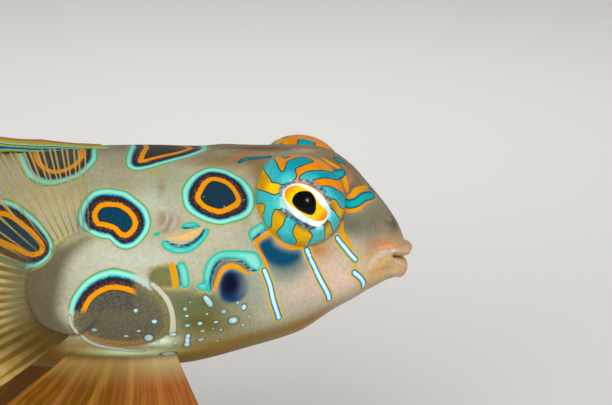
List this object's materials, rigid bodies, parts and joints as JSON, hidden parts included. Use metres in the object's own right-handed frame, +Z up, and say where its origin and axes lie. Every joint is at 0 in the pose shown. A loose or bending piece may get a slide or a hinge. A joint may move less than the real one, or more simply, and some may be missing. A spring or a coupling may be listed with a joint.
{
  "type": "spotted mandarinfish display model",
  "caption": "Life-size still model of a spotted mandarinfish, ringed eye spots on its flanks and fins spread, held above a flat base by two short rods.",
  "frame": {"origin": "middle of the underside of the stand's base", "axes": "+X along the fish from tail to snout, +Y to the fish's left side, +Z up"},
  "size_m": [0.062, 0.03, 0.0289],
  "materials": {
    "fish_skin": "satin, moist look",
    "eye": "gloss",
    "fin_membrane": "satin",
    "pelvic_membrane": "satin",
    "stand_board": "matt",
    "stand_rod": "satin"
  },
  "bodies": {
    "root": {"head": "fish_skin", "trunk": "fish_skin", "tail_body": "fish_skin", "tail_peduncle": "fish_skin", "eye_left": "eye", "eye_right": "eye", "first_dorsal_fin": "fin_membrane", "second_dorsal_fin": "fin_membrane", "anal_fin": "fin_membrane", "caudal_fin": "fin_membrane", "pectoral_fin_left": "fin_membrane", "pectoral_fin_right": "fin_membrane", "pelvic_fin_left": "pelvic_membrane", "pelvic_fin_right": "pelvic_membrane", "stand_base": "stand_board", "stand_rod_front": "stand_rod", "stand_rod_rear": "stand_rod"}
  },
  "joints": []
}
